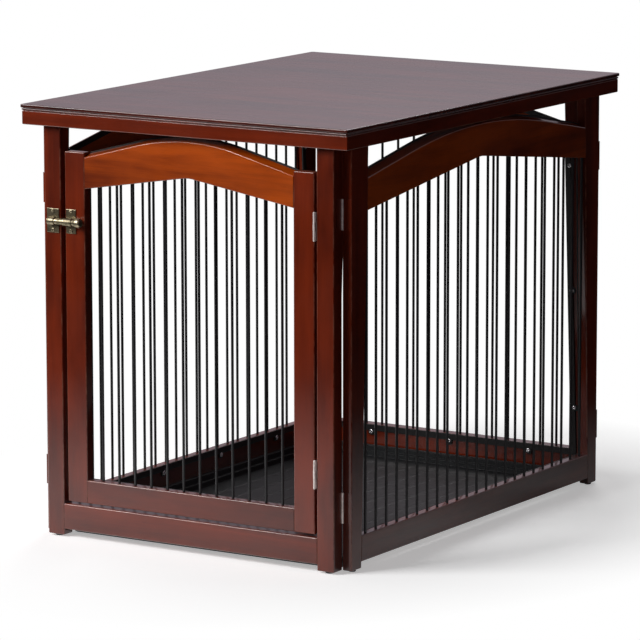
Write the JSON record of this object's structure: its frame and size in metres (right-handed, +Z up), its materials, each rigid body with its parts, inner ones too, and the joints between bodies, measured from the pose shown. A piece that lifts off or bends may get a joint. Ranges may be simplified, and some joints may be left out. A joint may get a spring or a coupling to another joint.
{
  "type": "dog crate end table",
  "caption": "Wooden end table that is also a dog crate: four barred panels with arched top rails, a hinged front door with a slide bolt, a lift-off top and a floor tray.",
  "frame": {"origin": "on the floor under the middle of the table", "axes": "+Z up, -Y out of the door's face, +X to the right of someone facing the door"},
  "size_m": [0.582, 0.829, 0.665],
  "materials": {
    "stained_wood": "satin lacquer over dark reddish-brown stain",
    "lacquered_board": "gloss lacquer over dark reddish-brown stain",
    "black_bars": "semi-gloss black enamel",
    "black_lining": "satin black enamel",
    "zinc_screws": "bright zinc plate",
    "antique_brass": "dull antique plate",
    "tray_plastic": "fine-grained dark grey",
    "glide_plastic": "matte black"
  },
  "bodies": {
    "frame": {"back_arch_rail": "stained_wood", "back_bars": "black_bars", "back_bottom_rail": "stained_wood", "back_lining": "black_lining", "back_post_left": "stained_wood", "back_post_right": "stained_wood", "corner_hinge_pins": "antique_brass", "corner_leaves_front_left_end": "antique_brass", "corner_leaves_front_left_side": "antique_brass", "corner_leaves_front_right_end": "antique_brass", "corner_leaves_front_right_side": "antique_brass", "corner_leaves_rear_left_end": "antique_brass", "corner_leaves_rear_left_side": "antique_brass", "corner_leaves_rear_right_end": "antique_brass", "corner_leaves_rear_right_side": "antique_brass", "door_hinge_pins": "antique_brass", "door_hinge_post_leaves": "antique_brass", "front_bottom_rail": "stained_wood", "front_head_rail": "stained_wood", "front_post_left": "stained_wood", "front_post_right": "stained_wood", "glides": "glide_plastic", "latch_keeper": "antique_brass", "latch_screws_keeper": "antique_brass", "left_arch_rail": "stained_wood", "left_bars": "black_bars", "left_bottom_rail": "stained_wood", "left_lining": "black_lining", "left_post_front": "stained_wood", "left_post_rear": "stained_wood", "lining_screws_frame": "zinc_screws", "right_arch_rail": "stained_wood", "right_bars": "black_bars", "right_bottom_rail": "stained_wood", "right_lining": "black_lining", "right_post_front": "stained_wood", "right_post_rear": "stained_wood"},
    "door": {"door_arch_rail": "stained_wood", "door_bars": "black_bars", "door_bottom_rail": "stained_wood", "door_hinge_door_leaves": "antique_brass", "door_lining": "black_lining", "door_stile_left": "stained_wood", "door_stile_right": "stained_wood", "lining_screws_door": "zinc_screws", "latch_body": "antique_brass", "latch_screws_body": "antique_brass"},
    "latch_bolt": {"latch_bolt": "antique_brass", "latch_knob": "antique_brass"},
    "top": {"top_board": "lacquered_board", "apron_front": "stained_wood", "apron_back": "stained_wood", "apron_left": "stained_wood", "apron_right": "stained_wood", "top_corner_blocks": "stained_wood"},
    "tray": {"tray": "tray_plastic"}
  },
  "joints": [
    {"name": "door_hinge", "type": "hinge", "parent": "frame", "child": "door", "pos_m": [0.22525, -0.4005, 0.33], "axis": [0, 0, 1], "range_deg": [0, 175]},
    {"name": "latch_slide", "type": "slide", "parent": "door", "child": "latch_bolt", "axis": [1, 0, 0], "range_m": [0, 0.014]},
    {"name": "top_lift", "type": "slide", "parent": "frame", "child": "top", "axis": [0, 0, 1], "range_m": [0, 0.06]},
    {"name": "tray_lift", "type": "slide", "parent": "frame", "child": "tray", "axis": [0, 0, 1], "range_m": [0, 0.6]}
  ]
}
